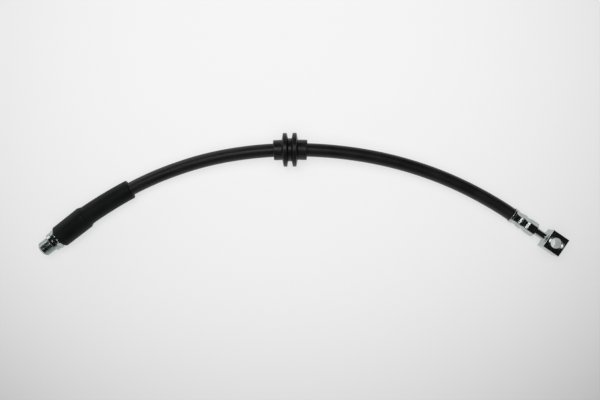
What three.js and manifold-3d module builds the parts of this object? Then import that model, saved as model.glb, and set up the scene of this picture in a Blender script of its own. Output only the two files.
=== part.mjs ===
import * as THREE from 'three';
import { mergeVertices } from 'three/addons/utils/BufferGeometryUtils.js';
import Module from 'manifold-3d';

// A hydraulic brake hose that lies on a flat surface, its male end at the left and its banjo end at the right.
// Lengths are in millimetres and Z is up. The origin is under the middle of the rigid pieces.

// Gaps between pieces that fit in each other
const fitGap = 0.3;
const rubberGap = 0.55;

// How far a cutter reaches past the face that it cuts
const cutterReach = 1;

// Hose
const hoseRadius = 5.25;
const hoseBoreRadius = 1.6;
const hoseSides = 12;
const hoseStep = 20;
const endJoint = 1;
const endJointInset = 0.05;

// The free hose's centre line, from the male ferrule's mouth to the banjo ferrule's mouth
const routePoints = [
  [-173.5, -20.0, 9.15],
  [-168.5, -16.1, 9.15],
  [-155.0, -7.2, 9.15],
  [-137.7, 2.9, 9.15],
  [-119.8, 11.8, 9.25],
  [-101.3, 19.2, 9.6],
  [-82.2, 25.3, 10.4],
  [-62.7, 29.8, 11.4],
  [-42.9, 32.8, 12.4],
  [-23.1, 34.5, 13.1],
  [-3.0, 34.9, 13.2],
  [16.8, 34.1, 12.9],
  [36.8, 32.1, 12.2],
  [56.5, 28.9, 11.3],
  [76.0, 24.4, 10.4],
  [95.2, 18.6, 9.4],
  [113.9, 11.5, 8.6],
  [132.0, 3.1, 8.0],
  [149.5, -6.5, 7.6],
  [158.7, -12.2, 7.5],
  [163.7, -15.6, 7.5],
];

// Ferrules, measured from the mouth where the hose goes in
const ferruleLength = 22;
const ferruleRadius = 5.95;
const ferruleWall = 0.5;
const lipRadius = 6.1;
const lipLength = 1.8;
const lipRounding = 0.35;
const mouthTaper = 3;
const firstWaist = 5.2;
const crest = 9.6;
const secondWaist = 12.4;
const bodyStart = 15.6;
const ridgeWaistDepth = 0.5;
const flatDepth = 0.65;
const flatWaistDepth = 0.75;
const jawCount = 6;
const jawTurn = 9;
const endWallThickness = 1.2;
const endWallRounding = 0.9;

// Hose tail inside the hose, and the groove that the ferrule's end wall sits in
const tailRadius = 1.75;
const tailBoreRadius = 1.1;
const tailStart = 1.6;
const tailChamfer = 0.3;
const firstBarb = 0.6;
const barbHeight = 0.25;
const barbRise = 2.4;
const barbFall = 0.15;
const barbPitch = 3.2;
const barbCount = 3;
const grooveRadius = 2.5;
const retainerRadius = 4.2;
const retainerLength = 1.3;
const stubBoreRadius = 2.3;

// Male end
const threadRadius = 6;
const threadLength = 9.2;
const threadChamfer = 1.7;
const undercutRadius = 5.2;
const undercutLength = 0.8;
const collarRadius = 7.5;
const collarLength = 3.2;
const collarChamfer = 0.5;
const collarSeatBore = 6.4;
const collarRelief = 0.2;
const hexAcrossFlats = 14;
const hexLength = 3;
const hexChamfer = 0.6;
const hexChamferDepth = 1;
const hexTurn = 7.8;
const maleBoreRadius = 1.6;

// Banjo end
const neckRadius = 3;
const neckLength = 9.6;
const neckFillet = 2;
const neckBoreRadius = 1.5;
const blockLength = 14.7;
const blockWidth = 15.4;
const blockHeight = 15;
const blockEdge = 0.35;
const banjoHoleRadius = 4.1;
const banjoHoleChamfer = 0.2;
const washerSeatRadius = 6.5;
const washerSeatDepth = 0.2;

// Protective sleeve
const sleeveWideLength = 26.3;
const sleeveNarrowLength = 40.9;
const sleeveFrontRadius = 8.9;
const sleeveWideRadius = 9.15;
const sleeveNarrowRadius = 7.9;
const sleeveTailRadius = 7.6;
const sleeveHexGap = 0.9;
const sleeveStep = 4;
const sleeveBoreStep = 0.8;
const sleeveBoreTaper = 1;
const sleeveEndRounding = 1.1;
const sleeveTailRounding = 0.8;

// Grommet, from its male-side collar to its banjo-side collar
const grommetCentre = 175.8;
const grommetCollarRadius = 7.9;
const grommetFirstCollar = 6.6;
const grommetLastCollar = 7.3;
const flangeRadius = 13.15;
const flangeBase = 4.6;
const flangeRim = 3.1;
const flangeRounding = 0.6;
const grommetGrooveRadius = 9;
const grommetGrooveBase = 2.9;
const grommetGrooveRim = 4.2;
const grommetEndRounding = 0.8;

// Facets round a turned piece
const turnedSides = 30;
const rubberSides = 32;
const innerSides = 24;

const wasm = await Module();
wasm.setup();

function toSolid(geometry) {
  const bare = geometry.clone();
  bare.deleteAttribute('normal');
  bare.deleteAttribute('uv');
  const merged = mergeVertices(bare, 1e-5);
  return new wasm.Manifold(new wasm.Mesh({
    numProp: 3,
    vertProperties: new Float32Array(merged.attributes.position.array),
    triVerts: new Uint32Array(merged.index.array),
  }));
}

function toGeometry(solid) {
  const { vertProperties, triVerts } = solid.getMesh();
  const geometry = new THREE.BufferGeometry();
  geometry.setAttribute('position', new THREE.BufferAttribute(vertProperties, 3));
  geometry.setIndex(new THREE.BufferAttribute(triVerts, 1));
  geometry.computeVertexNormals();
  return geometry;
}

// A smooth rise from 0 to 1 as value goes from 0 to 1
function ease(value) {
  const held = Math.min(Math.max(value, 0), 1);
  return (1 - Math.cos(Math.PI * held)) / 2;
}

function spaced(from, to, count) {
  return Array.from({ length: count + 1 }, (_, index) => from + (to - from) * index / count);
}

// Points of a quarter circle, from one angle to another, in degrees
function arc(centreAlong, centreRadius, radius, fromAngle, toAngle, count = 4) {
  return spaced(fromAngle, toAngle, count).map((angle) => {
    const radians = THREE.MathUtils.degToRad(angle);
    return [centreAlong + radius * Math.cos(radians), centreRadius + radius * Math.sin(radians)];
  });
}

// A solid turned about the X axis. The outline's points are [along, radius]: the outside with rising X,
// then the inside back.
function turned(outline, sides) {
  const points = [...outline, outline[0]].map(([along, radius]) => new THREE.Vector2(radius, along));
  return new THREE.LatheGeometry(points, sides).rotateZ(-Math.PI / 2);
}

// The hose's centre line as a curve, and its straight continuations into both ferrules
const route = new THREE.CatmullRomCurve3(routePoints.map((point) => new THREE.Vector3(...point)));
const routeLength = route.getLength();

function placeOnRoute(distance) {
  const share = Math.min(Math.max(distance / routeLength, 0), 1);
  const tangent = route.getTangentAt(share);
  const beyond = distance - share * routeLength;
  const centre = route.getPointAt(share).addScaledVector(tangent, beyond);
  const side = new THREE.Vector3(-tangent.y, tangent.x, 0).normalize();
  const up = new THREE.Vector3().crossVectors(tangent, side);
  return { centre, tangent, side, up };
}

// Bends a piece that was turned about the X axis so that its axis follows the hose
function bentAlongRoute(geometry, start) {
  const position = geometry.attributes.position;
  for (let index = 0; index < position.count; index += 1) {
    const { centre, side, up } = placeOnRoute(start + position.getX(index));
    const bent = centre
      .addScaledVector(side, position.getY(index))
      .addScaledVector(up, position.getZ(index));
    position.setXYZ(index, bent.x, bent.y, bent.z);
  }
  geometry.computeVertexNormals();
  return geometry;
}

// A group at a ferrule's mouth whose X axis points out of the hose, along the end fitting
function endGroup(distance, outward) {
  const { centre, tangent } = placeOnRoute(distance);
  const group = new THREE.Group();
  group.position.copy(centre);
  group.rotation.z = Math.atan2(tangent.y * outward, tangent.x * outward);
  group.updateMatrixWorld();
  return group;
}

const maleEnd = endGroup(0, -1);
const banjoEnd = endGroup(routeLength, 1);

// Ferrule outlines: how far the two crimped waists draw in, from 0 to 1
function pinch(along) {
  if (along < firstWaist) {
    return ease((along - lipLength) / (firstWaist - lipLength));
  }
  if (along < crest) {
    return 1 - ease((along - firstWaist) / (crest - firstWaist));
  }
  if (along < secondWaist) {
    return ease((along - crest) / (secondWaist - crest));
  }
  return 1 - ease((along - secondWaist) / (bodyStart - secondWaist));
}

function ferruleRidge(along) {
  return ferruleRadius - ridgeWaistDepth * pinch(along);
}

function ferruleFlat(along) {
  return ferruleRadius - flatDepth - flatWaistDepth * pinch(along);
}

function ferruleBore(along) {
  const mouth = hoseRadius + fitGap;
  const crimped = ferruleFlat(along) - ferruleWall;
  return mouth + (crimped - mouth) * ease(along / mouthTaper);
}

// Places along a ferrule where its outside is drawn: the ends of each slope, and between them
function outsideStations(from, to, perSlope = 3) {
  const bends = [from, firstWaist, crest, secondWaist, bodyStart];
  const slopes = bends.slice(1).flatMap((bend, index) => spaced(bends[index], bend, perSlope).slice(1));
  return [from, ...slopes, to];
}

// Places where its bore, and the hose end in it, change their taper
function boreStations(to) {
  return [0, mouthTaper, firstWaist, crest, secondWaist, bodyStart, to];
}

function ferruleBlank() {
  const bodyEnd = ferruleLength - endWallRounding;
  const innerEnd = ferruleLength - endWallThickness;
  const outside = [
    [0, hoseRadius + fitGap],
    ...arc(lipRounding, lipRadius - lipRounding, lipRounding, 180, 90, 3),
    [lipLength - lipRounding, lipRadius],
    ...outsideStations(lipLength, bodyEnd).map((along) => [along, ferruleRidge(along)]),
    ...arc(bodyEnd, ferruleRadius - endWallRounding, endWallRounding, 90, 0).slice(1),
    [ferruleLength, grooveRadius + fitGap],
  ];
  const inside = boreStations(innerEnd).reverse().map((along) => [along, ferruleBore(along)]);
  return turned([...outside, [innerEnd, grooveRadius + fitGap], ...inside.slice(0, -1)], turnedSides);
}

// One jaw of the crimping tool: its face has the outline that the flats take, above the X axis
function crimpingJaw(turnAngle) {
  const reach = 2 * lipRadius;
  const face = new THREE.Shape();
  const stations = outsideStations(lipLength, ferruleLength + endWallRounding);
  face.moveTo(lipLength, reach);
  stations.forEach((along) => face.lineTo(along, along > lipLength ? ferruleFlat(along) : lipRadius));
  face.lineTo(ferruleLength + endWallRounding, reach);
  const jaw = new THREE.ExtrudeGeometry(face, { depth: 2 * lipRadius, bevelEnabled: false });
  jaw.translate(0, 0, -lipRadius).rotateX(Math.PI / 2);
  jaw.rotateX(THREE.MathUtils.degToRad(turnAngle));
  return toSolid(jaw);
}

// A deep-drawn shell with six flats pressed along it, its end wall rolled into the fitting's groove
function crimpedFerrule() {
  let shell = toSolid(ferruleBlank());
  for (let jaw = 0; jaw < jawCount; jaw += 1) {
    shell = shell.subtract(crimpingJaw(jawTurn + 360 * jaw / jawCount));
  }
  return toGeometry(shell);
}

// The hose's squeezed end inside a ferrule, from just outside its mouth to the fitting's retainer
function squeezedHoseEnd() {
  const stubEnd = ferruleLength - endWallThickness - fitGap - retainerLength - fitGap;
  const jointRadius = hoseRadius * Math.cos(Math.PI / hoseSides) - endJointInset;
  const jointBoreRadius = hoseBoreRadius + endJointInset;
  const outside = boreStations(stubEnd).map((along) => {
    return [along, Math.min(ferruleBore(along) - fitGap, hoseRadius)];
  });
  return turned([
    [-endJoint, jointRadius],
    [0, jointRadius],
    ...outside.slice(1),
    [stubEnd, stubBoreRadius],
    [tailStart - fitGap, stubBoreRadius],
    [0, jointBoreRadius],
    [-endJoint, jointBoreRadius],
  ], innerSides);
}

// The free hose, a hollow twelve-sided section carried along the route
function freeHose() {
  const section = new THREE.Shape();
  const bore = new THREE.Path();
  for (let side = 0; side < hoseSides; side += 1) {
    const angle = 2 * Math.PI * side / hoseSides;
    const draw = side === 0 ? 'moveTo' : 'lineTo';
    section[draw](hoseRadius * Math.cos(angle), hoseRadius * Math.sin(angle));
    bore[draw](hoseBoreRadius * Math.cos(angle), hoseBoreRadius * Math.sin(angle));
  }
  section.closePath();
  bore.closePath();
  section.holes.push(bore);
  return new THREE.ExtrudeGeometry(section, {
    extrudePath: route,
    steps: Math.round(routeLength / hoseStep),
  });
}

function hoseGeometry() {
  const stub = squeezedHoseEnd();
  const maleStub = toSolid(stub.clone().applyMatrix4(maleEnd.matrixWorld));
  const banjoStub = toSolid(stub.clone().applyMatrix4(banjoEnd.matrixWorld));
  return toGeometry(toSolid(freeHose()).add(maleStub).add(banjoStub));
}

// The barbed hose tail up to the groove, as an outline with rising X
function tailOutline() {
  const grooveStart = ferruleLength - endWallThickness - fitGap;
  const retainerStart = grooveStart - retainerLength;
  const barbs = [];
  for (let barb = 0; barb < barbCount; barb += 1) {
    const start = tailStart + firstBarb + barb * barbPitch;
    barbs.push([start, tailRadius]);
    barbs.push([start + barbRise, tailRadius + barbHeight]);
    barbs.push([start + barbRise + barbFall, tailRadius]);
  }
  return [
    [tailStart, tailBoreRadius],
    [tailStart, tailRadius - tailChamfer],
    ...barbs,
    [retainerStart, tailRadius],
    [retainerStart, retainerRadius],
    [grooveStart, retainerRadius],
    [grooveStart, grooveRadius],
    [ferruleLength + fitGap, grooveRadius],
  ];
}

function hexagonSolid(start) {
  const corner = hexAcrossFlats / 2 / Math.cos(Math.PI / 6);
  const hexagon = new THREE.Shape();
  for (let side = 0; side < 6; side += 1) {
    const angle = THREE.MathUtils.degToRad(hexTurn + 60 * side);
    const draw = side === 0 ? 'moveTo' : 'lineTo';
    hexagon[draw](corner * Math.cos(angle), corner * Math.sin(angle));
  }
  hexagon.closePath();
  const bar = new THREE.ExtrudeGeometry(hexagon, { depth: hexLength, bevelEnabled: false });
  bar.rotateY(Math.PI / 2).translate(start, 0, 0);
  const round = turned([
    [start, tailRadius + hexChamfer],
    [start, corner - hexChamferDepth],
    [start + hexChamfer, corner],
    [start + hexLength - hexChamfer, corner],
    [start + hexLength, corner - hexChamferDepth],
    [start + hexLength, tailRadius + hexChamfer],
  ], turnedSides);
  return toSolid(bar).intersect(toSolid(round));
}

// Male fitting: hose tail, hexagon, round collar, undercut and threaded end, drilled through
function maleFitting() {
  const hexStart = ferruleLength + fitGap;
  const collarStart = hexStart + hexLength;
  const collarEnd = collarStart + collarLength;
  const threadStart = collarEnd + undercutLength;
  const tip = threadStart + threadLength;
  const body = turned([
    ...tailOutline(),
    [hexStart, hexAcrossFlats / 2 - hexChamfer],
    [collarStart, hexAcrossFlats / 2 - hexChamfer],
    [collarStart, collarRadius - collarChamfer],
    [collarStart + collarChamfer, collarRadius],
    [collarEnd - collarChamfer, collarRadius],
    [collarEnd, collarRadius - collarChamfer],
    [collarEnd, collarSeatBore],
    [collarEnd - collarRelief, collarSeatBore],
    [collarEnd - collarRelief, undercutRadius],
    [threadStart, undercutRadius],
    [threadStart, threadRadius],
    [tip - threadChamfer, threadRadius],
    [tip, threadRadius - threadChamfer],
    [tip, maleBoreRadius],
    [hexStart, maleBoreRadius],
    [hexStart - maleBoreRadius + tailBoreRadius, tailBoreRadius],
  ], turnedSides);
  return toGeometry(toSolid(body).add(hexagonSolid(hexStart)));
}

// The square block: a bar with eased edges, its length along X
function blockBar(start) {
  const section = new THREE.Shape();
  section.moveTo(-blockHeight / 2, -blockWidth / 2);
  section.lineTo(blockHeight / 2, -blockWidth / 2);
  section.lineTo(blockHeight / 2, blockWidth / 2);
  section.lineTo(-blockHeight / 2, blockWidth / 2);
  section.closePath();
  const bar = new THREE.ExtrudeGeometry(section, {
    depth: blockLength - 2 * blockEdge,
    bevelThickness: blockEdge,
    bevelSize: blockEdge,
    bevelOffset: -blockEdge,
    bevelSegments: 1,
  });
  bar.translate(0, 0, blockEdge).rotateY(Math.PI / 2).translate(start, 0, 0);
  return toSolid(bar);
}

// What is cut from the block across its length: the hole, its chamfers and both washer seats
function crossHole(centreAlong) {
  const face = blockHeight / 2;
  const seat = face - washerSeatDepth;
  const chamferEnd = seat - banjoHoleChamfer;
  const clear = face + cutterReach;
  const cutter = turned([
    [-clear, 0],
    [-clear, washerSeatRadius],
    [-seat, washerSeatRadius],
    [-seat, banjoHoleRadius + banjoHoleChamfer],
    [-chamferEnd, banjoHoleRadius],
    [chamferEnd, banjoHoleRadius],
    [seat, banjoHoleRadius + banjoHoleChamfer],
    [seat, washerSeatRadius],
    [clear, washerSeatRadius],
    [clear, 0],
  ], turnedSides);
  cutter.rotateY(-Math.PI / 2).translate(centreAlong, 0, 0);
  return toSolid(cutter);
}

// Banjo fitting: hose tail, neck with a fillet, and a square block with a hole for the banjo bolt
function banjoFitting() {
  const neckStart = ferruleLength + fitGap;
  const blockStart = neckStart + neckLength;
  const holeCentre = blockStart + blockLength / 2;
  const filletEdge = neckRadius + neckFillet;
  const shank = turned([
    ...tailOutline(),
    [neckStart, neckRadius],
    ...arc(blockStart - neckFillet, filletEdge, neckFillet, 270, 360, 5),
    [blockStart + blockEdge, filletEdge],
    [blockStart + blockEdge, neckBoreRadius],
    [neckStart, neckBoreRadius],
    [neckStart - neckBoreRadius + tailBoreRadius, tailBoreRadius],
  ], turnedSides);
  const passage = turned([
    [blockStart - cutterReach, 0],
    [blockStart - cutterReach, neckBoreRadius],
    [holeCentre, neckBoreRadius],
    [holeCentre, 0],
  ], turnedSides);
  const solid = toSolid(shank)
    .add(blockBar(blockStart))
    .subtract(crossHole(holeCentre))
    .subtract(toSolid(passage));
  return toGeometry(solid);
}

// Protective sleeve: wide over the ferrule, narrow along the first stretch of hose
function sleeveGeometry() {
  const wideStart = -(ferruleLength + fitGap - sleeveHexGap);
  const step = wideStart + sleeveWideLength;
  const end = step + sleeveNarrowLength;
  const wideBore = lipRadius + fitGap;
  const narrowBore = hoseRadius + rubberGap;
  const endBore = ferruleRadius + fitGap;
  const drop = sleeveWideRadius - sleeveNarrowRadius;
  const shoulder = spaced(0, 1, 5).map((share) => {
    return [step + sleeveStep * (share - 0.5), sleeveWideRadius - drop * ease(share)];
  });
  const tail = [end - sleeveTailRounding, sleeveTailRadius - sleeveTailRounding];
  const narrowing = (sleeveNarrowRadius - sleeveTailRadius) / (end - sleeveTailRounding - step);
  const outline = [
    [wideStart, endBore],
    ...arc(wideStart + sleeveEndRounding, sleeveFrontRadius - sleeveEndRounding, sleeveEndRounding, 180, 90),
    ...shoulder,
    ...spaced(step + sleeveStep, end - sleeveTailRounding, 5).map((along) => {
      return [along, sleeveNarrowRadius - narrowing * (along - step)];
    }),
    ...arc(...tail, sleeveTailRounding, 90, 0, 3).slice(1),
    [end, narrowBore],
    ...spaced(end, sleeveBoreStep + sleeveBoreTaper, 6).slice(1).map((along) => [along, narrowBore]),
    [sleeveBoreStep, wideBore],
    [wideStart + endWallRounding, wideBore],
  ];
  return bentAlongRoute(turned(outline, rubberSides), 0);
}

// Grommet: two collars and two flanges, with a groove between them for the edge of a bracket
function grommetGeometry() {
  const bore = hoseRadius + rubberGap;
  const grooveFlare = (grommetGrooveRim - grommetGrooveBase) / 2;
  const outerFlare = flangeBase - flangeRim - grooveFlare;
  const length = grommetFirstCollar + 2 * flangeBase + grommetGrooveBase + grommetLastCollar;
  const flangeA = grommetFirstCollar;
  const groove = flangeA + flangeBase;
  const flangeB = groove + grommetGrooveBase;
  const collarB = flangeB + flangeBase;
  const rimA = [flangeA + outerFlare, groove - grooveFlare];
  const rimB = [flangeB + grooveFlare, collarB - outerFlare];
  const rim = ([from, to]) => [
    ...arc(from + flangeRounding, flangeRadius - flangeRounding, flangeRounding, 180, 90, 3),
    ...arc(to - flangeRounding, flangeRadius - flangeRounding, flangeRounding, 90, 0, 3),
  ];
  const collarTop = grommetCollarRadius - grommetEndRounding;
  const outline = [
    [0, bore],
    ...arc(grommetEndRounding, collarTop, grommetEndRounding, 180, 90, 3),
    [flangeA, grommetCollarRadius],
    ...rim(rimA),
    [groove, grommetGrooveRadius],
    [flangeB, grommetGrooveRadius],
    ...rim(rimB),
    [collarB, grommetCollarRadius],
    ...arc(length - grommetEndRounding, collarTop, grommetEndRounding, 90, 0, 3),
    [length, bore],
    ...spaced(length, 0, 4).slice(1, -1).map((along) => [along, bore]),
  ];
  return bentAlongRoute(turned(outline, rubberSides), grommetCentre - length / 2);
}

function piece(name, geometry, color, roughness, metalness) {
  const mesh = new THREE.Mesh(geometry, new THREE.MeshStandardMaterial({ color, roughness, metalness }));
  mesh.name = name;
  return mesh;
}

const group = new THREE.Group();
const ferrule = crimpedFerrule();

group.add(piece('hose', hoseGeometry(), 0x1b1b1c, 0.55, 0));
group.add(piece('protective_sleeve', sleeveGeometry(), 0x222325, 0.6, 0));
group.add(piece('grommet', grommetGeometry(), 0x1d1d1f, 0.5, 0));

maleEnd.add(piece('male_ferrule', ferrule.clone(), 0xb9c0bc, 0.25, 1));
maleEnd.add(piece('male_fitting', maleFitting(), 0xc2cac6, 0.22, 1));
banjoEnd.add(piece('banjo_ferrule', ferrule, 0xb9c0bc, 0.22, 1));
banjoEnd.add(piece('banjo_fitting', banjoFitting(), 0xb4bbb8, 0.25, 1));
group.add(maleEnd, banjoEnd);

export default group;
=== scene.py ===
import math

import bmesh
import bpy
from mathutils import Matrix, Vector
from mathutils.geometry import interpolate_bezier


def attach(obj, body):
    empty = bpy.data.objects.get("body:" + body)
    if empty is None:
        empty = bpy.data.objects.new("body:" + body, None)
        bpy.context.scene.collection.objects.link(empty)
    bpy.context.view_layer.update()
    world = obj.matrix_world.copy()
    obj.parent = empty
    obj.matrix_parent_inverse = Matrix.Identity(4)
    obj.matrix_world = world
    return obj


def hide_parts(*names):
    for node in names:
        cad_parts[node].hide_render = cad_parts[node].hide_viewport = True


# A brake hose that lies on a pale surface, seen from straight above.
# Everything is in metres. Outlines of turned parts are written in millimetres and scaled once, by mm.

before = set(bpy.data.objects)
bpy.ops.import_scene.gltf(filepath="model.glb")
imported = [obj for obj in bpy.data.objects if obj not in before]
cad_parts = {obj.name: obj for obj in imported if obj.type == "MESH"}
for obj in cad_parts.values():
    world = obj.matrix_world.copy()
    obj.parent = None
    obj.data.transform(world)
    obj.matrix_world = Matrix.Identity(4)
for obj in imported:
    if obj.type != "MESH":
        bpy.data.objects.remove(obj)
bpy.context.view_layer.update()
scene = bpy.context.scene
mm = 0.001
print("frame loaded")

view = {
    "nadir": (-0.00234, -0.00412),  # the point of the surface that is right under the lens
    "height": 0.627,
    "lens": 47.4,
    "sensor": 36.0,
}


def placeCamera():
    lens = bpy.data.cameras.new("camera")
    lens.lens = view["lens"]
    lens.sensor_width = view["sensor"]
    lens.clip_start = 0.01
    camera = bpy.data.objects.new("camera", lens)
    camera.location = (*view["nadir"], view["height"])
    scene.collection.objects.link(camera)
    scene.camera = camera


placeCamera()
print("camera placed")


# The hose's centre line, from the male ferrule's mouth to the banjo ferrule's mouth
routePoints = [Vector(point) for point in (
    (-0.1735, -0.0200, 0.00915),
    (-0.1685, -0.0161, 0.00915),
    (-0.1550, -0.0072, 0.00915),
    (-0.1377, 0.0029, 0.00915),
    (-0.1198, 0.0118, 0.00925),
    (-0.1013, 0.0192, 0.0096),
    (-0.0822, 0.0253, 0.0104),
    (-0.0627, 0.0298, 0.0114),
    (-0.0429, 0.0328, 0.0124),
    (-0.0231, 0.0345, 0.0131),
    (-0.0030, 0.0349, 0.0132),
    (0.0168, 0.0341, 0.0129),
    (0.0368, 0.0321, 0.0122),
    (0.0565, 0.0289, 0.0113),
    (0.0760, 0.0244, 0.0104),
    (0.0952, 0.0186, 0.0094),
    (0.1139, 0.0115, 0.0086),
    (0.1320, 0.0031, 0.0080),
    (0.1495, -0.0065, 0.0076),
    (0.1587, -0.0122, 0.0075),
    (0.1637, -0.0156, 0.0075),
)]
stepsPerSpan = 16


def bezierKnots(points):
    # Handles of the centripetal curve through the points: left handle, point, right handle
    first = 2 * points[0] - points[1]
    last = 2 * points[-1] - points[-2]
    padded = [first, *points, last]
    knots = []
    for before, point, after in zip(padded, points, padded[2:]):
        spanIn = math.sqrt((point - before).length)
        spanOut = math.sqrt((after - point).length)
        across = (after - before) / (spanIn + spanOut)
        slope = (point - before) / spanIn - across + (after - point) / spanOut
        knots.append((point - slope * spanIn / 3, point, point + slope * spanOut / 3))
    return knots


def routeObject(knots):
    curve = bpy.data.curves.new("hoseRoute", "CURVE")
    curve.dimensions = "3D"
    curve.resolution_u = stepsPerSpan
    spline = curve.splines.new("BEZIER")
    spline.bezier_points.add(len(knots) - 1)
    for bezierPoint, (left, point, right) in zip(spline.bezier_points, knots):
        bezierPoint.handle_left_type = "FREE"
        bezierPoint.handle_right_type = "FREE"
        bezierPoint.handle_left = left
        bezierPoint.co = point
        bezierPoint.handle_right = right
    route = bpy.data.objects.new("hoseRoute", curve)
    scene.collection.objects.link(route)
    return route


def sampledRoute(knots):
    points = [knots[0][1].copy()]
    for start, end in zip(knots, knots[1:]):
        points += interpolate_bezier(start[1], start[2], end[0], end[1], stepsPerSpan + 1)[1:]
    return points


routeCurveKnots = bezierKnots(routePoints)
route = routeObject(routeCurveKnots)
routeLine = sampledRoute(routeCurveKnots)
routeLength = sum((b - a).length for a, b in zip(routeLine, routeLine[1:]))
print("route laid,", round(routeLength, 4), "m free")


def endMatrix(mouth, outward):
    # A frame at a ferrule's mouth whose X axis points out of the hose
    out = outward.normalized()
    side = Vector((-out.y, out.x, 0))
    turn = Matrix((out, side, Vector((0, 0, 1)))).transposed()
    return Matrix.Translation(mouth) @ turn.to_4x4()


maleEnd = endMatrix(routePoints[0], routePoints[0] - routePoints[1])
banjoEnd = endMatrix(routePoints[-1], routePoints[-1] - routePoints[-2])


# Node groups

def mathNode(tree, operation, *inputs):
    node = tree.nodes.new("ShaderNodeMath")
    node.operation = operation
    connect(tree, node, inputs)
    return node.outputs[0]


def vectorNode(tree, operation, *inputs, output="Vector"):
    node = tree.nodes.new("ShaderNodeVectorMath")
    node.operation = operation
    if operation == "SCALE":
        connect(tree, node, inputs[:1])
        tree.links.new(inputs[1], node.inputs["Scale"])
    else:
        connect(tree, node, inputs)
    return node.outputs[output]


def connect(tree, node, inputs):
    for socket, value in zip(node.inputs, inputs):
        if isinstance(value, bpy.types.NodeSocket):
            tree.links.new(value, socket)
        else:
            socket.default_value = value


def startTree(name, inputs):
    # A geometry tree with a geometry input and output, and named inputs of the given kinds
    tree = bpy.data.node_groups.new(name, "GeometryNodeTree")
    tree.interface.new_socket("Geometry", in_out="OUTPUT", socket_type="NodeSocketGeometry")
    tree.interface.new_socket("Geometry", in_out="INPUT", socket_type="NodeSocketGeometry")
    for label, kind in inputs.items():
        tree.interface.new_socket(label, in_out="INPUT", socket_type=kind)
    return tree, tree.nodes.new("NodeGroupInput").outputs


def endTree(tree, geometry, material):
    realize = tree.nodes.new("GeometryNodeRealizeInstances")
    paint = tree.nodes.new("GeometryNodeSetMaterial")
    output = tree.nodes.new("NodeGroupOutput")
    tree.links.new(geometry, realize.inputs["Geometry"])
    tree.links.new(realize.outputs["Geometry"], paint.inputs["Geometry"])
    tree.links.new(material, paint.inputs["Material"])
    tree.links.new(paint.outputs["Geometry"], output.inputs["Geometry"])


def followHoseTree():
    # Bends a straight part, turned about X, so that its axis follows the hose from a start distance
    tree, given = startTree("followHose", {
        "Route": "NodeSocketObject",
        "Start": "NodeSocketFloat",
        "Material": "NodeSocketMaterial",
    })
    line = tree.nodes.new("GeometryNodeObjectInfo")
    line.transform_space = "ORIGINAL"
    tree.links.new(given["Route"], line.inputs["Object"])
    total = tree.nodes.new("GeometryNodeCurveLength")
    tree.links.new(line.outputs["Geometry"], total.inputs["Curve"])
    place = tree.nodes.new("GeometryNodeInputPosition")
    parts = tree.nodes.new("ShaderNodeSeparateXYZ")
    tree.links.new(place.outputs["Position"], parts.inputs[0])
    distance = mathNode(tree, "ADD", parts.outputs["X"], given["Start"])
    held = mathNode(tree, "MINIMUM", mathNode(tree, "MAXIMUM", distance, 0.0), total.outputs["Length"])
    beyond = mathNode(tree, "SUBTRACT", distance, held)
    sample = tree.nodes.new("GeometryNodeSampleCurve")
    sample.mode = "LENGTH"
    tree.links.new(line.outputs["Geometry"], sample.inputs["Curves"])
    tree.links.new(held, sample.inputs["Length"])
    along = sample.outputs["Tangent"]
    level = vectorNode(tree, "CROSS_PRODUCT", (0.0, 0.0, 1.0), along)
    side = vectorNode(tree, "NORMALIZE", level)
    upright = vectorNode(tree, "CROSS_PRODUCT", along, side)
    forward = vectorNode(tree, "ADD", sample.outputs["Position"], vectorNode(tree, "SCALE", along, beyond))
    sideways = vectorNode(tree, "SCALE", side, parts.outputs["Y"])
    upwards = vectorNode(tree, "SCALE", upright, parts.outputs["Z"])
    bent = vectorNode(tree, "ADD", vectorNode(tree, "ADD", forward, sideways), upwards)
    move = tree.nodes.new("GeometryNodeSetPosition")
    tree.links.new(given["Geometry"], move.inputs["Geometry"])
    tree.links.new(bent, move.inputs["Position"])
    endTree(tree, move.outputs["Geometry"], given["Material"])
    return tree


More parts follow.
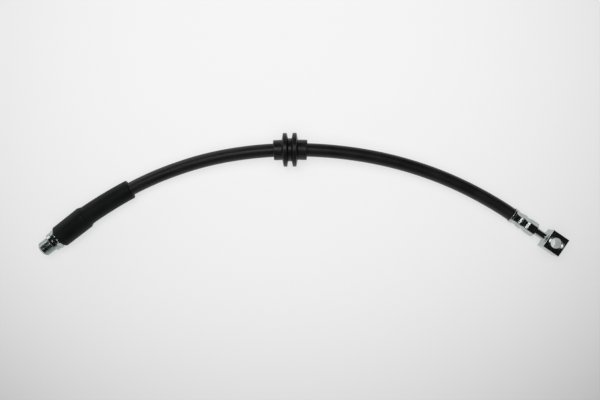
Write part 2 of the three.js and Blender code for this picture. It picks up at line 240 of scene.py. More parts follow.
def cutThreadTree():
    # Cuts a right-handed thread along X into a turned blank, from a start distance to its tip
    tree, given = startTree("cutThread", {
        "Start": "NodeSocketFloat",
        "Pitch": "NodeSocketFloat",
        "Major Radius": "NodeSocketFloat",
        "Depth": "NodeSocketFloat",
        "Crest Flat": "NodeSocketFloat",
        "Root Flat": "NodeSocketFloat",
        "Material": "NodeSocketMaterial",
    })
    place = tree.nodes.new("GeometryNodeInputPosition")
    parts = tree.nodes.new("ShaderNodeSeparateXYZ")
    tree.links.new(place.outputs["Position"], parts.inputs[0])
    x, y, z = parts.outputs[:3]
    squares = mathNode(tree, "ADD", mathNode(tree, "MULTIPLY", y, y), mathNode(tree, "MULTIPLY", z, z))
    radius = mathNode(tree, "SQRT", squares)
    turns = mathNode(tree, "DIVIDE", mathNode(tree, "ARCTAN2", z, y), 2 * math.pi)
    pitches = mathNode(tree, "DIVIDE", x, given["Pitch"])
    phase = mathNode(tree, "FRACT", mathNode(tree, "SUBTRACT", pitches, turns))
    ramp = mathNode(tree, "MULTIPLY", mathNode(tree, "ABSOLUTE", mathNode(tree, "SUBTRACT", phase, 0.5)), 2.0)
    flats = mathNode(tree, "ADD", given["Crest Flat"], given["Root Flat"])
    flank = mathNode(tree, "SUBTRACT", 1.0, flats)
    rise = mathNode(tree, "DIVIDE", mathNode(tree, "SUBTRACT", ramp, given["Root Flat"]), flank)
    height = mathNode(tree, "MINIMUM", mathNode(tree, "MAXIMUM", rise, 0.0), 1.0)
    sunk = mathNode(tree, "MULTIPLY", mathNode(tree, "SUBTRACT", 1.0, height), given["Depth"])
    surface = mathNode(tree, "SUBTRACT", given["Major Radius"], sunk)
    cut = mathNode(tree, "MINIMUM", radius, surface)
    share = mathNode(tree, "DIVIDE", cut, radius)
    threaded = tree.nodes.new("ShaderNodeCombineXYZ")
    tree.links.new(x, threaded.inputs["X"])
    tree.links.new(mathNode(tree, "MULTIPLY", y, share), threaded.inputs["Y"])
    tree.links.new(mathNode(tree, "MULTIPLY", z, share), threaded.inputs["Z"])
    past = mathNode(tree, "GREATER_THAN", x, given["Start"])
    move = tree.nodes.new("GeometryNodeSetPosition")
    tree.links.new(given["Geometry"], move.inputs["Geometry"])
    tree.links.new(past, move.inputs["Selection"])
    tree.links.new(threaded.outputs[0], move.inputs["Position"])
    endTree(tree, move.outputs["Geometry"], given["Material"])
    return tree


def runTree(piece, tree, values):
    # Sets the tree's named inputs on a modifier, and keeps its result as the piece's own mesh
    modifier = piece.modifiers.new(tree.name, "NODES")
    modifier.node_group = tree
    for item in tree.interface.items_tree:
        if item.item_type == "SOCKET" and item.in_out == "INPUT" and item.name in values:
            modifier[item.identifier] = values[item.name]
    keepResult(piece)


def keepResult(piece):
    graph = bpy.context.evaluated_depsgraph_get()
    evaluated = piece.evaluated_get(graph)
    mesh = bpy.data.meshes.new_from_object(evaluated, preserve_all_data_layers=True, depsgraph=graph)
    old = piece.data
    piece.modifiers.clear()
    piece.data = mesh
    mesh.name = piece.name
    bpy.data.meshes.remove(old)


followHose = followHoseTree()
cutThread = cutThreadTree()
print("node groups built")


# Turned parts

def ease(value):
    held = min(max(value, 0), 1)
    return (1 - math.cos(math.pi * held)) / 2


def spaced(start, end, count):
    return [start + (end - start) * index / count for index in range(count + 1)]


def spacedPoints(start, end, count):
    return [(start[0] + (end[0] - start[0]) * share, start[1] + (end[1] - start[1]) * share)
            for share in spaced(0, 1, count)]


def arc(centreAlong, centreRadius, radius, fromAngle, toAngle, count=8):
    turn = [math.radians(angle) for angle in spaced(fromAngle, toAngle, count)]
    return [(centreAlong + radius * math.cos(a), centreRadius + radius * math.sin(a)) for a in turn]


def turnedPiece(name, outline, sides, shape=None):
    # The outline's points are (along, radius), outside with rising X, then inside back.
    # Its UV map holds the way along the outline in centimetres, and the turn round the axis.
    mesh = bpy.data.meshes.new(name)
    build = bmesh.new()
    uv = build.loops.layers.uv.new("turned")
    rings = []
    for along, radius in outline:
        ring = []
        for side in range(sides):
            angle = 2 * math.pi * side / sides
            reach = radius if shape is None else shape(along, radius, angle)
            across, up = -reach * math.sin(angle), reach * math.cos(angle)
            ring.append(build.verts.new((along * mm, across * mm, up * mm)))
        rings.append(ring)
    way = [0.0]
    for (a, r), (b, q) in zip(outline, outline[1:] + outline[:1]):
        way.append(way[-1] + math.hypot(b - a, q - r) / 10)
    for index in range(len(outline)):
        near = rings[index]
        far = rings[(index + 1) % len(outline)]
        for side in range(sides):
            after = (side + 1) % sides
            face = build.faces.new((near[side], near[after], far[after], far[side]))
            corners = ((index, side), (index, side + 1), (index + 1, side + 1), (index + 1, side))
            for loop, (row, turn) in zip(face.loops, corners):
                loop[uv].uv = (way[row], turn / sides)
            face.smooth = True
    build.normal_update()
    build.to_mesh(mesh)
    build.free()
    piece = bpy.data.objects.new(name, mesh)
    scene.collection.objects.link(piece)
    return piece


def smoothShading(piece, angle=32):
    piece.data.set_sharp_from_angle(angle=math.radians(angle))
    weighted = piece.modifiers.new("evenNormals", "WEIGHTED_NORMAL")
    weighted.keep_sharp = True
    keepResult(piece)


def settle(piece, node):
    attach(piece, "root")
    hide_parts(node)


# Materials

def startMaterial(name):
    material = bpy.data.materials.new(name)
    material.use_nodes = True
    tree = material.node_tree
    return material, tree, tree.nodes["Principled BSDF"]


def noiseNode(tree, vector, scale, detail=3.0, roughness=0.5):
    noise = tree.nodes.new("ShaderNodeTexNoise")
    noise.inputs["Scale"].default_value = scale
    noise.inputs["Detail"].default_value = detail
    noise.inputs["Roughness"].default_value = roughness
    tree.links.new(vector, noise.inputs["Vector"])
    return noise.outputs["Fac"]


def rangeNode(tree, value, low, high, fromLow=0.3, fromHigh=0.7):
    span = tree.nodes.new("ShaderNodeMapRange")
    span.inputs["From Min"].default_value = fromLow
    span.inputs["From Max"].default_value = fromHigh
    span.inputs["To Min"].default_value = low
    span.inputs["To Max"].default_value = high
    tree.links.new(value, span.inputs["Value"])
    return span.outputs["Result"]


def colourNode(tree, value, dark, light):
    ramp = tree.nodes.new("ShaderNodeValToRGB")
    ramp.color_ramp.elements[0].position = 0.3
    ramp.color_ramp.elements[0].color = (*dark, 1)
    ramp.color_ramp.elements[1].position = 0.7
    ramp.color_ramp.elements[1].color = (*light, 1)
    tree.links.new(value, ramp.inputs["Fac"])
    return ramp.outputs["Color"]


def scaledVector(tree, source, scale):
    mapping = tree.nodes.new("ShaderNodeMapping")
    mapping.inputs["Scale"].default_value = scale
    tree.links.new(source, mapping.inputs["Vector"])
    return mapping.outputs["Vector"]


def bumpNode(tree, height, distance, strength, under=None):
    bump = tree.nodes.new("ShaderNodeBump")
    bump.inputs["Distance"].default_value = distance
    bump.inputs["Strength"].default_value = strength
    tree.links.new(height, bump.inputs["Height"])
    if under is not None:
        tree.links.new(under, bump.inputs["Normal"])
    return bump.outputs["Normal"]


def rubberMaterial(name, look):
    material, tree, shader = startMaterial(name)
    place = tree.nodes.new("ShaderNodeTexCoord")
    clouds = noiseNode(tree, place.outputs["Object"], look["cloudScale"])
    grain = noiseNode(tree, place.outputs["Object"], look["grainScale"], 2.0)
    tree.links.new(colourNode(tree, clouds, look["dark"], look["light"]), shader.inputs["Base Color"])
    tree.links.new(rangeNode(tree, clouds, *look["roughness"]), shader.inputs["Roughness"])
    fine = bumpNode(tree, grain, look["grainDepth"], look["grainStrength"])
    streaks = noiseNode(tree, scaledVector(tree, place.outputs["UV"], look["streakScale"]), 1.0, 2.0)
    both = bumpNode(tree, streaks, look["streakDepth"], look["streakStrength"], fine)
    tree.links.new(both, shader.inputs["Normal"])
    shader.inputs["IOR"].default_value = look["index"]
    return material


def platedMaterial(name, look):
    material, tree, shader = startMaterial(name)
    place = tree.nodes.new("ShaderNodeTexCoord")
    clouds = noiseNode(tree, place.outputs["Object"], look["cloudScale"])
    tree.links.new(colourNode(tree, clouds, look["dark"], look["light"]), shader.inputs["Base Color"])
    tree.links.new(rangeNode(tree, clouds, *look["roughness"]), shader.inputs["Roughness"])
    if look["marks"] == "turned":
        marks = noiseNode(tree, scaledVector(tree, place.outputs["UV"], look["markScale"]), 1.0, 3.0)
    else:
        marks = noiseNode(tree, scaledVector(tree, place.outputs["Object"], look["markScale"]), 1.0, 3.0)
    tree.links.new(bumpNode(tree, marks, look["markDepth"], look["markStrength"]), shader.inputs["Normal"])
    shader.inputs["Metallic"].default_value = 1.0
    return material


looks = {
    "hose": {
        "dark": (0.006, 0.006, 0.006), "light": (0.010, 0.010, 0.010),
        "roughness": (0.32, 0.42), "index": 1.38,
        "cloudScale": 60.0, "grainScale": 2600.0, "grainDepth": 0.00004, "grainStrength": 0.5,
        "streakScale": (2.0, 60.0, 1.0), "streakDepth": 0.00004, "streakStrength": 0.3,
    },
    "sleeve": {
        "dark": (0.004, 0.005, 0.0047), "light": (0.007, 0.009, 0.0086),
        "roughness": (0.40, 0.52), "index": 1.22,
        "cloudScale": 70.0, "grainScale": 2200.0, "grainDepth": 0.00006, "grainStrength": 0.6,
        "streakScale": (6.0, 20.0, 1.0), "streakDepth": 0.00003, "streakStrength": 0.2,
    },
    "grommet": {
        "dark": (0.006, 0.006, 0.006), "light": (0.010, 0.010, 0.010),
        "roughness": (0.28, 0.38), "index": 1.40,
        "cloudScale": 120.0, "grainScale": 2400.0, "grainDepth": 0.00004, "grainStrength": 0.5,
        "streakScale": (5.0, 12.0, 1.0), "streakDepth": 0.00003, "streakStrength": 0.2,
    },
    "ferrule": {
        "dark": (0.42, 0.46, 0.44), "light": (0.54, 0.58, 0.56), "roughness": (0.13, 0.22),
        "cloudScale": 240.0, "marks": "turned", "markScale": (120.0, 5.0, 1.0),
        "markDepth": 0.00002, "markStrength": 0.25,
    },
    "fitting": {
        "dark": (0.38, 0.43, 0.41), "light": (0.50, 0.55, 0.53), "roughness": (0.12, 0.20),
        "cloudScale": 240.0, "marks": "turned", "markScale": (180.0, 3.0, 1.0),
        "markDepth": 0.00002, "markStrength": 0.3,
    },
    "block": {
        "dark": (0.38, 0.42, 0.40), "light": (0.50, 0.54, 0.52), "roughness": (0.14, 0.24),
        "cloudScale": 240.0, "marks": "milled", "markScale": (900.0, 900.0, 900.0),
        "markDepth": 0.00001, "markStrength": 0.2,
    },
}
hoseRubber = rubberMaterial("hoseRubber", looks["hose"])
sleeveRubber = rubberMaterial("sleeveRubber", looks["sleeve"])
grommetRubber = rubberMaterial("grommetRubber", looks["grommet"])
platedFerrule = platedMaterial("platedFerrule", looks["ferrule"])
platedFitting = platedMaterial("platedFitting", looks["fitting"])
platedBlock = platedMaterial("platedBlock", looks["block"])
print("materials mixed")


# Ferrules: a turned shell with two waists, and six flats pressed along it

ferrule = {
    "length": 22.0,
    "radius": 5.95,
    "wall": 0.5,
    "lipRadius": 6.1,
    "lipLength": 1.8,
    "lipRounding": 0.35,
    "mouthRadius": 5.55,
    "mouthTaper": 3.0,
    "firstWaist": 5.2,
    "crest": 9.6,
    "secondWaist": 12.4,
    "bodyStart": 15.6,
    "ridgeWaistDepth": 0.5,
    "flatDepth": 0.65,
    "flatWaistDepth": 0.75,
    "flats": 6,
    "turn": 9.0,
    "edgeBlend": 0.14,
    "endWall": 1.2,
    "endRounding": 0.9,
    "endBore": 2.8,
    "sides": 144,
}


def pinch(along):
    # How far the two crimped waists draw in, from 0 to 1
    bends = (ferrule["lipLength"], ferrule["firstWaist"], ferrule["crest"], ferrule["secondWaist"],
             ferrule["bodyStart"])
    if along < bends[1]:
        return ease((along - bends[0]) / (bends[1] - bends[0]))
    if along < bends[2]:
        return 1 - ease((along - bends[1]) / (bends[2] - bends[1]))
    if along < bends[3]:
        return ease((along - bends[2]) / (bends[3] - bends[2]))
    return 1 - ease((along - bends[3]) / (bends[4] - bends[3]))


def ferruleRidge(along):
    return ferrule["radius"] - ferrule["ridgeWaistDepth"] * pinch(along)


def ferruleFlat(along):
    return ferrule["radius"] - ferrule["flatDepth"] - ferrule["flatWaistDepth"] * pinch(along)


def ferruleBore(along):
    crimped = ferruleFlat(along) - ferrule["wall"]
    return ferrule["mouthRadius"] + (crimped - ferrule["mouthRadius"]) * ease(along / ferrule["mouthTaper"])


def softMinimum(first, second, blend):
    share = max(blend - abs(first - second), 0) / blend
    return min(first, second) - share * share * blend / 4


def acrossFlats(count, turn, angle, apothem):
    # The radius of a regular polygon in the direction of the angle
    step = 2 * math.pi / count
    away = (angle - math.radians(turn) + step / 2) % step - step / 2
    return apothem / math.cos(away)


def crimped(along, radius, angle):
    if along <= ferrule["lipLength"] or radius <= ferruleBore(along) + 0.01:
        return radius
    flat = acrossFlats(ferrule["flats"], ferrule["turn"], angle, ferruleFlat(along))
    return softMinimum(radius, flat, ferrule["edgeBlend"])


def ferruleOutline():
    rounding = ferrule["lipRounding"]
    bodyEnd = ferrule["length"] - ferrule["endRounding"]
    innerEnd = ferrule["length"] - ferrule["endWall"]
    crimp = spaced(ferrule["lipLength"], bodyEnd, 60)
    bore = [innerEnd, *spaced(ferrule["bodyStart"], 0.3, 24)]
    return [
        (0, ferrule["mouthRadius"]),
        *arc(rounding, ferrule["lipRadius"] - rounding, rounding, 180, 90),
        *arc(ferrule["lipLength"] - rounding, ferrule["lipRadius"] - rounding, rounding, 90, 30, 4),
        *[(along, ferruleRidge(along)) for along in crimp],
        *arc(bodyEnd, ferrule["radius"] - ferrule["endRounding"], ferrule["endRounding"], 90, 0)[1:],
        (ferrule["length"], ferrule["endBore"]),
        (innerEnd, ferrule["endBore"]),
        *[(along, ferruleBore(along)) for along in bore],
    ]


def makeFerrule(node, place):
    piece = turnedPiece(node + "_shell", ferruleOutline(), ferrule["sides"], crimped)
    piece.data.transform(place)
    piece.data.materials.append(platedFerrule)
    smoothShading(piece)
    settle(piece, node)


# Hose: a tube along the route, its two ends squeezed inside the ferrules

hose = {
    "radius": 5.25,
    "boreRadius": 1.6,
    "stubBoreRadius": 2.3,
    "stubLength": 18.9,
    "fitGap": 0.3,
    "sides": 72,
    "step": 2.0,
    "stubRings": 24,
    "endJoint": 1.0,
    "wholeLength": 0.397,
}


def makeHose():
    free = routeLength / mm
    stub = hose["stubLength"]
    joint = hose["endJoint"]
    squeeze = [(depth, min(ferruleBore(depth) - hose["fitGap"], hose["radius"]))
               for depth in spaced(0, stub, hose["stubRings"])]
    freeStations = spaced(0, free, round(free / hose["step"]))
    outline = [
        (-stub, hose["stubBoreRadius"]),
        *[(-depth, radius) for depth, radius in reversed(squeeze)],
        *[(station, hose["radius"]) for station in freeStations[1:-1]],
        *[(free + depth, radius) for depth, radius in squeeze],
        (free + stub, hose["stubBoreRadius"]),
        (free, hose["stubBoreRadius"]),
        *[(station, hose["boreRadius"]) for station in spaced(free - joint, joint, 60)],
        (0, hose["stubBoreRadius"]),
    ]
    piece = turnedPiece("hose_cover", outline, hose["sides"])
    runTree(piece, followHose, {"Route": route, "Start": 0.0, "Material": hoseRubber})
    smoothShading(piece)
    settle(piece, "hose")


makeHose()
print("hose laid")
makeFerrule("male_ferrule", maleEnd)
makeFerrule("banjo_ferrule", banjoEnd)
print("ferrules crimped")


# Protective sleeve: wide over the male ferrule, narrow along the first stretch of hose

sleeve = {
    "wideLength": 26.3,
    "narrowLength": 40.9,
    "frontRadius": 8.9,
    "wideRadius": 9.15,
    "narrowRadius": 7.9,
    "tailRadius": 7.6,
    "hexGap": 0.9,
    "step": 4.0,
    "endRounding": 1.1,
    "tailRounding": 0.8,
    "wideBore": 6.4,
    "narrowBore": 5.8,
    "endBore": 6.25,
    "boreStep": 0.8,
    "sides": 96,
}


def makeSleeve():
    start = -(ferrule["length"] + hose["fitGap"] - sleeve["hexGap"])
    step = start + sleeve["wideLength"]
    end = step + sleeve["narrowLength"]
    drop = sleeve["wideRadius"] - sleeve["narrowRadius"]
    rounding = sleeve["endRounding"]
    tail = sleeve["tailRounding"]
    narrowing = (sleeve["narrowRadius"] - sleeve["tailRadius"]) / (end - tail - step)

    def narrowRadius(along):
        return sleeve["narrowRadius"] - narrowing * (along - step)

    shoulder = [(step + sleeve["step"] * (share - 0.5), sleeve["wideRadius"] - drop * ease(share))
                for share in spaced(0, 1, 14)]
    narrowStart = shoulder[-1][0]
    outline = [
        (start, sleeve["endBore"]),
        *arc(start + rounding, sleeve["frontRadius"] - rounding, rounding, 180, 90),
        *spacedPoints((start + rounding, sleeve["frontRadius"]), shoulder[0], 12)[1:-1],
        *shoulder,
        *[(along, narrowRadius(along)) for along in spaced(narrowStart, end - tail, 24)[1:-1]],
        *arc(end - tail, sleeve["tailRadius"] - tail, tail, 90, 0),
        (end, sleeve["narrowBore"]),
        *[(along, sleeve["narrowBore"]) for along in spaced(end, sleeve["boreStep"] + 1, 20)[1:]],
        (sleeve["boreStep"], sleeve["wideBore"]),
        *[(along, sleeve["wideBore"]) for along in spaced(sleeve["boreStep"], start + 1, 8)[1:]],
    ]
    piece = turnedPiece("protective_sleeve_cover", outline, sleeve["sides"])
    runTree(piece, followHose, {"Route": route, "Start": 0.0, "Material": sleeveRubber})
    smoothShading(piece)
    settle(piece, "protective_sleeve")


makeSleeve()
print("sleeve fitted")


# Grommet: two collars and two flanges, with a groove for the edge of a bracket

grommet = {
    "centre": 175.8,
    "bore": 5.8,
    "collarRadius": 7.9,
    "firstCollar": 6.6,
    "lastCollar": 7.3,
    "flangeRadius": 13.15,
    "flangeBase": 4.6,
    "flangeRim": 3.1,
    "rounding": 0.6,
    "grooveRadius": 9.0,
    "grooveBase": 2.9,
    "grooveRim": 4.2,
    "endRounding": 0.8,
    "fillet": 0.5,
    "filletMiddle": 0.15,
    "grooveFillet": 0.3,
    "sides": 120,
}


def makeGrommet():
    flare = (grommet["grooveRim"] - grommet["grooveBase"]) / 2
    outer = grommet["flangeBase"] - grommet["flangeRim"] - flare
    firstFlange = grommet["firstCollar"]
    groove = firstFlange + grommet["flangeBase"]
    secondFlange = groove + grommet["grooveBase"]
    lastCollar = secondFlange + grommet["flangeBase"]
    length = lastCollar + grommet["lastCollar"]
    rounding = grommet["rounding"]
    rim = grommet["flangeRadius"] - rounding
    soft = grommet["endRounding"]
    collar = grommet["collarRadius"]
    fillet = grommet["fillet"]
    middle = grommet["filletMiddle"]
    hollow = grommet["grooveFillet"]

    def flange(start, end):
        return [*arc(start + rounding, rim, rounding, 172, 90), *arc(end - rounding, rim, rounding, 90, 8)]

    outline = [
        (0, grommet["bore"]),
        *arc(soft, collar - soft, soft, 180, 90),
        (firstFlange - fillet, collar),
        (firstFlange - middle, collar + middle),
        (firstFlange, collar + fillet),
        *flange(firstFlange + outer, groove - flare),
        (groove, grommet["grooveRadius"] + hollow),
        (groove + hollow, grommet["grooveRadius"]),
        (secondFlange - hollow, grommet["grooveRadius"]),
        (secondFlange, grommet["grooveRadius"] + hollow),
        *flange(secondFlange + flare, lastCollar - outer),
        (lastCollar, collar + fillet),
        (lastCollar + middle, collar + middle),
        (lastCollar + fillet, collar),
        *arc(length - soft, collar - soft, soft, 90, 0),
        (length, grommet["bore"]),
        *[(along, grommet["bore"]) for along in spaced(length, 0, 12)[1:-1]],
    ]
    piece = turnedPiece("grommet_bush", outline, grommet["sides"])
    start = (grommet["centre"] - length / 2) * mm
    runTree(piece, followHose, {"Route": route, "Start": start, "Material": grommetRubber})
    smoothShading(piece)
    settle(piece, "grommet")


makeGrommet()
print("grommet fitted")


# Male fitting: hose tail, hexagon, collar, undercut and a cut thread

tail = {
    "start": 1.6,
    "radius": 1.75,
    "boreRadius": 1.1,
    "chamfer": 0.3,
    "barbLead": 0.6,
    "barbPitch": 3.2,
    "barbRise": 2.4,
    "barbFall": 0.15,
    "barbHeight": 0.25,
    "barbs": 3,
    "grooveRadius": 2.5,
    "retainerRadius": 4.2,
    "retainerLength": 1.3,
    "fitGap": 0.3,
}


def tailOutline():
    grooveStart = ferrule["length"] - ferrule["endWall"] - tail["fitGap"]
    retainerStart = grooveStart - tail["retainerLength"]
    barbs = []
    for barb in range(tail["barbs"]):
        start = tail["start"] + tail["barbLead"] + barb * tail["barbPitch"]
        barbs += [(start, tail["radius"]), (start + tail["barbRise"], tail["radius"] + tail["barbHeight"]),
                  (start + tail["barbRise"] + tail["barbFall"], tail["radius"])]
    return [
        (tail["start"], tail["boreRadius"]),
        (tail["start"], tail["radius"] - tail["chamfer"]),
        *barbs,
        (retainerStart, tail["radius"]),
        (retainerStart, tail["retainerRadius"]),
        (grooveStart, tail["retainerRadius"]),
        (grooveStart, tail["grooveRadius"]),
        (ferrule["length"] + tail["fitGap"], tail["grooveRadius"]),
    ]


male = {
    "hexAcrossFlats": 14.0,
    "hexLength": 3.0,
    "hexChamfer": 0.6,
    "hexChamferDepth": 1.0,
    "hexSplit": 0.02,
    "hexTurn": 29.3,  # which way its corners point, as seen in the photograph
    "edgeBlend": 0.1,
    "collarRadius": 7.5,
    "collarLength": 3.2,
    "collarChamfer": 0.5,
    "seatBore": 6.4,
    "seatRelief": 0.2,
    "undercutRadius": 5.2,
    "undercutLength": 0.8,
    "threadRadius": 6.0,
    "threadLength": 9.2,
    "threadChamfer": 1.7,
    "pitch": 1.0,
    "threadDepth": 0.61,
    "crestFlat": 0.14,
    "rootFlat": 0.22,
    "threadRings": 96,
    "runOut": 0.05,
    "boreRadius": 1.6,
    "boreChamfer": 0.5,
    "sides": 120,
}


def makeMaleFitting():
    hexStart = ferrule["length"] + tail["fitGap"]
    collarStart = hexStart + male["hexLength"]
    collarEnd = collarStart + male["collarLength"]
    threadStart = collarEnd + male["undercutLength"]
    tip = threadStart + male["threadLength"]
    apothem = male["hexAcrossFlats"] / 2
    corner = apothem / math.cos(math.pi / 6)
    chamfer = male["hexChamfer"]
    soft = male["collarChamfer"]
    edge = male["threadChamfer"]
    crown = male["threadRadius"]

    def hexagonal(along, radius, angle):
        if not hexStart <= along < collarStart - 0.001 or radius < apothem - 1:
            return radius
        flat = acrossFlats(6, male["hexTurn"] + 30, angle, apothem)
        return softMinimum(radius, flat, male["edgeBlend"])

    chamferFoot = corner - male["hexChamferDepth"]
    outline = [
        *tailOutline(),
        (hexStart, chamferFoot),
        *spacedPoints((hexStart, chamferFoot), (hexStart + chamfer, corner), 5)[1:],
        (collarStart - chamfer, corner),
        *spacedPoints((collarStart - chamfer, corner), (collarStart - male["hexSplit"], chamferFoot), 5)[1:],
        (collarStart, apothem - chamfer),
        (collarStart, male["collarRadius"] - soft),
        *arc(collarStart + soft, male["collarRadius"] - soft, soft, 180, 90)[1:],
        *arc(collarEnd - soft, male["collarRadius"] - soft, soft, 90, 0),
        (collarEnd, male["seatBore"]),
        (collarEnd - male["seatRelief"], male["seatBore"]),
        (collarEnd - male["seatRelief"], male["undercutRadius"]),
        (threadStart - male["runOut"], male["undercutRadius"]),
        *[(along, crown) for along in spaced(threadStart, tip - edge, male["threadRings"])],
        *spacedPoints((tip - edge, crown), (tip, crown - edge), 24)[1:],
        (tip, male["boreRadius"] + male["boreChamfer"]),
        (tip - male["boreChamfer"], male["boreRadius"]),
        (hexStart, male["boreRadius"]),
        (hexStart - male["boreRadius"] + tail["boreRadius"], tail["boreRadius"]),
    ]
    piece = turnedPiece("male_fitting_body", outline, male["sides"], hexagonal)
    runTree(piece, cutThread, {
        "Start": (threadStart - 0.02) * mm,
        "Pitch": male["pitch"] * mm,
        "Major Radius": crown * mm,
        "Depth": male["threadDepth"] * mm,
        "Crest Flat": male["crestFlat"],
        "Root Flat": male["rootFlat"],
        "Material": platedFitting,
    })
    piece.data.transform(maleEnd)
    smoothShading(piece)
    settle(piece, "male_fitting")


makeMaleFitting()
print("male fitting turned and threaded")


# Banjo fitting: hose tail, neck with a fillet, and a square block with a cross hole

banjo = {
    "neckRadius": 3.0,
    "neckLength": 9.6,
    "fillet": 2.0,
    "neckBore": 1.5,
    "length": 14.7,
    "width": 15.4,
    "height": 15.0,
    "edge": 0.35,
    "holeRadius": 4.1,
    "holeChamfer": 0.2,
    "seatRadius": 6.5,
    "seatDepth": 0.2,
    "rings": 5,  # turned rings on the washer seats, from the hole outwards
    "ringPitch": 0.3,
    "ringHeight": 0.06,
    "neckRounding": 0.4,
    "overlap": 1.0,  # how far the cutters reach past what they cut
    "axisRadius": 0.05,
    "sides": 120,
    "passageSides": 48,
}


def cutWith(piece, tool, operation):
    joint = piece.modifiers.new(operation.lower(), "BOOLEAN")
    joint.operation = operation
    joint.solver = "EXACT"
    joint.object = tool
    keepResult(piece)
    bpy.data.objects.remove(tool)


def closeOnAxis(tool):
    # The thin tube along a cutter's axis becomes a single point at each end
    build = bmesh.new()
    build.from_mesh(tool.data)
    reach = 1.2 * banjo["axisRadius"] * mm
    middle = [vert for vert in build.verts if math.hypot(vert.co.y, vert.co.z) < reach]
    bmesh.ops.remove_doubles(build, verts=middle, dist=4 * banjo["axisRadius"] * mm)
    build.to_mesh(tool.data)
    build.free()


def blockPiece(start):
    mesh = bpy.data.meshes.new("banjo_fitting_body")
    build = bmesh.new()
    bmesh.ops.create_cube(build, size=1)
    size = Matrix.Diagonal((banjo["length"] * mm, banjo["width"] * mm, banjo["height"] * mm, 1))
    bmesh.ops.transform(build, matrix=size, verts=build.verts)
    bmesh.ops.bevel(build, geom=build.edges[:], offset=banjo["edge"] * mm, segments=4, affect="EDGES",
                    profile=0.5)
    middle = (start + banjo["length"] / 2) * mm
    bmesh.ops.translate(build, vec=(middle, 0, 0), verts=build.verts)
    build.to_mesh(mesh)
    build.free()
    piece = bpy.data.objects.new("banjo_fitting_body", mesh)
    scene.collection.objects.link(piece)
    return piece


def makeBanjoFitting():
    neckStart = ferrule["length"] + tail["fitGap"]
    blockStart = neckStart + banjo["neckLength"]
    holeCentre = blockStart + banjo["length"] / 2
    face = banjo["height"] / 2
    seat = face - banjo["seatDepth"]
    chamferEnd = seat - banjo["holeChamfer"]
    rim = banjo["holeRadius"] + banjo["holeChamfer"]
    rings = [(seat + banjo["ringHeight"] * (step % 2), rim + step * banjo["ringPitch"] / 2)
             for step in range(2 * banjo["rings"] + 1)]
    flare = banjo["neckRadius"] + banjo["fillet"]
    inside = blockStart + banjo["overlap"]
    beyond = face + banjo["overlap"]
    rounding = banjo["neckRounding"]

    shank = turnedPiece("shank", [
        *tailOutline(),
        *arc(neckStart + rounding, banjo["neckRadius"] - rounding, rounding, 180, 90, 5),
        *arc(blockStart - banjo["fillet"], flare, banjo["fillet"], 270, 360, 14),
        (inside, flare),
        (inside, banjo["neckBore"]),
        (neckStart, banjo["neckBore"]),
        (neckStart - banjo["neckBore"] + tail["boreRadius"], tail["boreRadius"]),
    ], banjo["sides"])
    cross = turnedPiece("cross", [
        (-beyond, banjo["axisRadius"]),
        (-beyond, banjo["seatRadius"]),
        (-seat, banjo["seatRadius"]),
        *[(-height, radius) for height, radius in reversed(rings)],
        (-chamferEnd, banjo["holeRadius"]),
        (chamferEnd, banjo["holeRadius"]),
        *rings,
        (seat, banjo["seatRadius"]),
        (beyond, banjo["seatRadius"]),
        (beyond, banjo["axisRadius"]),
    ], banjo["sides"])
    closeOnAxis(cross)
    upright = Matrix.Rotation(math.pi / 2, 4, "Y")
    cross.data.transform(Matrix.Translation((holeCentre * mm, 0, 0)) @ upright)
    passage = turnedPiece("passage", [
        (blockStart - banjo["overlap"], banjo["axisRadius"]),
        (blockStart - banjo["overlap"], banjo["neckBore"]),
        (holeCentre, banjo["neckBore"]),
        (holeCentre, banjo["axisRadius"]),
    ], banjo["passageSides"])
    closeOnAxis(passage)
    piece = blockPiece(blockStart)
    cutWith(piece, shank, "UNION")
    cutWith(piece, cross, "DIFFERENCE")
    cutWith(piece, passage, "DIFFERENCE")
    piece.data.materials.clear()
    piece.data.materials.append(platedBlock)
    for polygon in piece.data.polygons:
        polygon.use_smooth = True
        polygon.material_index = 0
    piece.data.transform(banjoEnd)
    smoothShading(piece)
    settle(piece, "banjo_fitting")


makeBanjoFitting()
print("banjo fitting milled")
bpy.data.objects.remove(route)


# Floor and light

floor = {
    "half": 4.0,
    "paintedPoolCentre": (-0.018, 0.13),  # centre of a painted pool of light: the floor's tone is palest here and falls off outwards
    "pale": 0.975,
    "far": 0.55,
    "falloff": 7.4,  # how fast the painted pool of light dims with the cube of the distance
    "glow": 0.65,  # how much of its tone the camera and the metal see unlit
}


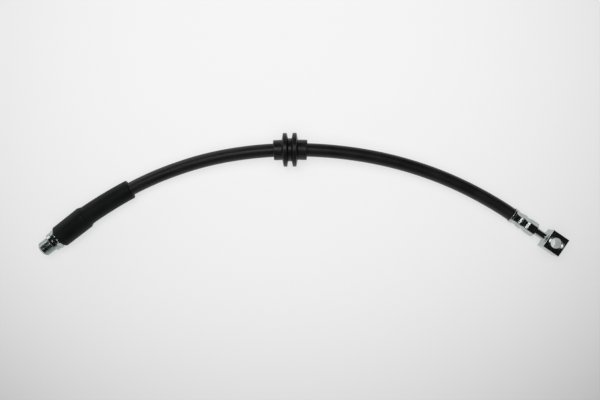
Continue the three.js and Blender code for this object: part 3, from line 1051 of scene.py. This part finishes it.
def makeFloor():
    mesh = bpy.data.meshes.new("floor")
    half = floor["half"]
    corners = [(-half, -half, 0), (half, -half, 0), (half, half, 0), (-half, half, 0)]
    mesh.from_pydata(corners, [], [(0, 1, 2, 3)])
    piece = bpy.data.objects.new("floor", mesh)
    scene.collection.objects.link(piece)
    material, tree, shader = startMaterial("paleFloor")
    tree.nodes.remove(shader)
    place = tree.nodes.new("ShaderNodeTexCoord")
    # The floor's tone is a painted pool of light, palest at one point and darker with distance; both the
    # diffuse colour and the unlit glow carry it
    centred = vectorNode(tree, "SUBTRACT", place.outputs["Object"], (*floor["paintedPoolCentre"], 0.0))
    distance = vectorNode(tree, "LENGTH", centred, output="Value")
    dim = mathNode(tree, "MULTIPLY", mathNode(tree, "POWER", distance, 3.0), floor["falloff"])
    tone = mathNode(tree, "MAXIMUM", mathNode(tree, "SUBTRACT", floor["pale"], dim), floor["far"])
    rays = tree.nodes.new("ShaderNodeLightPath")
    glow = tree.nodes.new("ShaderNodeEmission")
    tree.links.new(tone, glow.inputs["Color"])
    paint = tree.nodes.new("ShaderNodeBsdfDiffuse")
    tree.links.new(tone, paint.inputs["Color"])
    shown = mathNode(tree, "MAXIMUM", rays.outputs["Is Camera Ray"], rays.outputs["Is Glossy Ray"])
    shown = mathNode(tree, "MAXIMUM", shown, rays.outputs["Is Transmission Ray"])
    seen = mathNode(tree, "MULTIPLY", shown, floor["glow"])
    mix = tree.nodes.new("ShaderNodeMixShader")
    tree.links.new(seen, mix.inputs[0])
    tree.links.new(paint.outputs[0], mix.inputs[1])
    tree.links.new(glow.outputs[0], mix.inputs[2])
    tree.links.new(mix.outputs[0], tree.nodes["Material Output"].inputs["Surface"])
    mesh.materials.append(material)


def softbox(name, place, aim, size, radiance, mirrored=True):
    # Power is worked out from how bright the panel looks
    light = bpy.data.lights.new(name, "AREA")
    light.shape = "RECTANGLE"
    light.size, light.size_y = size
    light.energy = radiance * math.pi * size[0] * size[1]
    lamp = bpy.data.objects.new(name, light)
    lamp.location = place
    lamp.rotation_euler = (Vector(aim) - Vector(place)).to_track_quat("-Z", "Y").to_euler()
    lamp.visible_glossy = mirrored
    scene.collection.objects.link(lamp)


room = {
    "walls": (  # what stands round the surface: direction in degrees, and brightness
        (-180, 1.1), (-120, 0.8), (-52, 0.5), (0, 0.2), (35, 0.04), (90, 0.06), (120, 2.1), (155, 2.1),
    ),
    "ceiling": 0.012,
    "wallEdge": (0.15, 0.55),  # how steeply up the walls end, and where the dark ceiling is full
    "backdrop": 0.8,
    "horizon": 0.02,  # the pale backdrop stands behind the floor, up to here
}


def makeRoom():
    world = bpy.data.worlds.new("room")
    world.use_nodes = True
    scene.world = world
    tree = world.node_tree
    place = tree.nodes.new("ShaderNodeTexCoord")
    parts = tree.nodes.new("ShaderNodeSeparateXYZ")
    tree.links.new(place.outputs["Generated"], parts.inputs[0])
    low = rangeNode(tree, parts.outputs["Z"], 1.0, 0.0, *room["wallEdge"])
    around = tree.nodes.new("ShaderNodeTexGradient")
    around.gradient_type = "RADIAL"
    tree.links.new(place.outputs["Generated"], around.inputs["Vector"])
    tones = tree.nodes.new("ShaderNodeValToRGB")
    tree.links.new(around.outputs["Fac"], tones.inputs[0])
    tones.color_ramp.elements.remove(tones.color_ramp.elements[1])
    for degrees, tone in (*room["walls"], (180, room["walls"][0][1])):
        if degrees > -180:
            tones.color_ramp.elements.new((degrees + 180) / 360)
        tones.color_ramp.elements[-1].color = (tone, tone, tone, 1)
    lit = mathNode(tree, "MULTIPLY", tones.outputs["Color"], low)
    walls = mathNode(tree, "MAXIMUM", lit, room["ceiling"])
    below = mathNode(tree, "LESS_THAN", parts.outputs["Z"], room["horizon"])
    backdrop = mathNode(tree, "MULTIPLY", below, room["backdrop"])
    seen = mathNode(tree, "MAXIMUM", walls, backdrop)
    background = tree.nodes["Background"]
    tree.links.new(seen, background.inputs["Color"])


makeFloor()
makeRoom()
softbox("keyPanel", (-0.14, 0.23, 1.0), (0, 0, 0), (0.38, 0.38), 3.9)
softbox("fillPanel", (0, 0, 1.2), (0, 0, 0), (1.6, 1.6), 1.53, mirrored=False)
scene.view_settings.view_transform = "Standard"
print("floor and lights set")
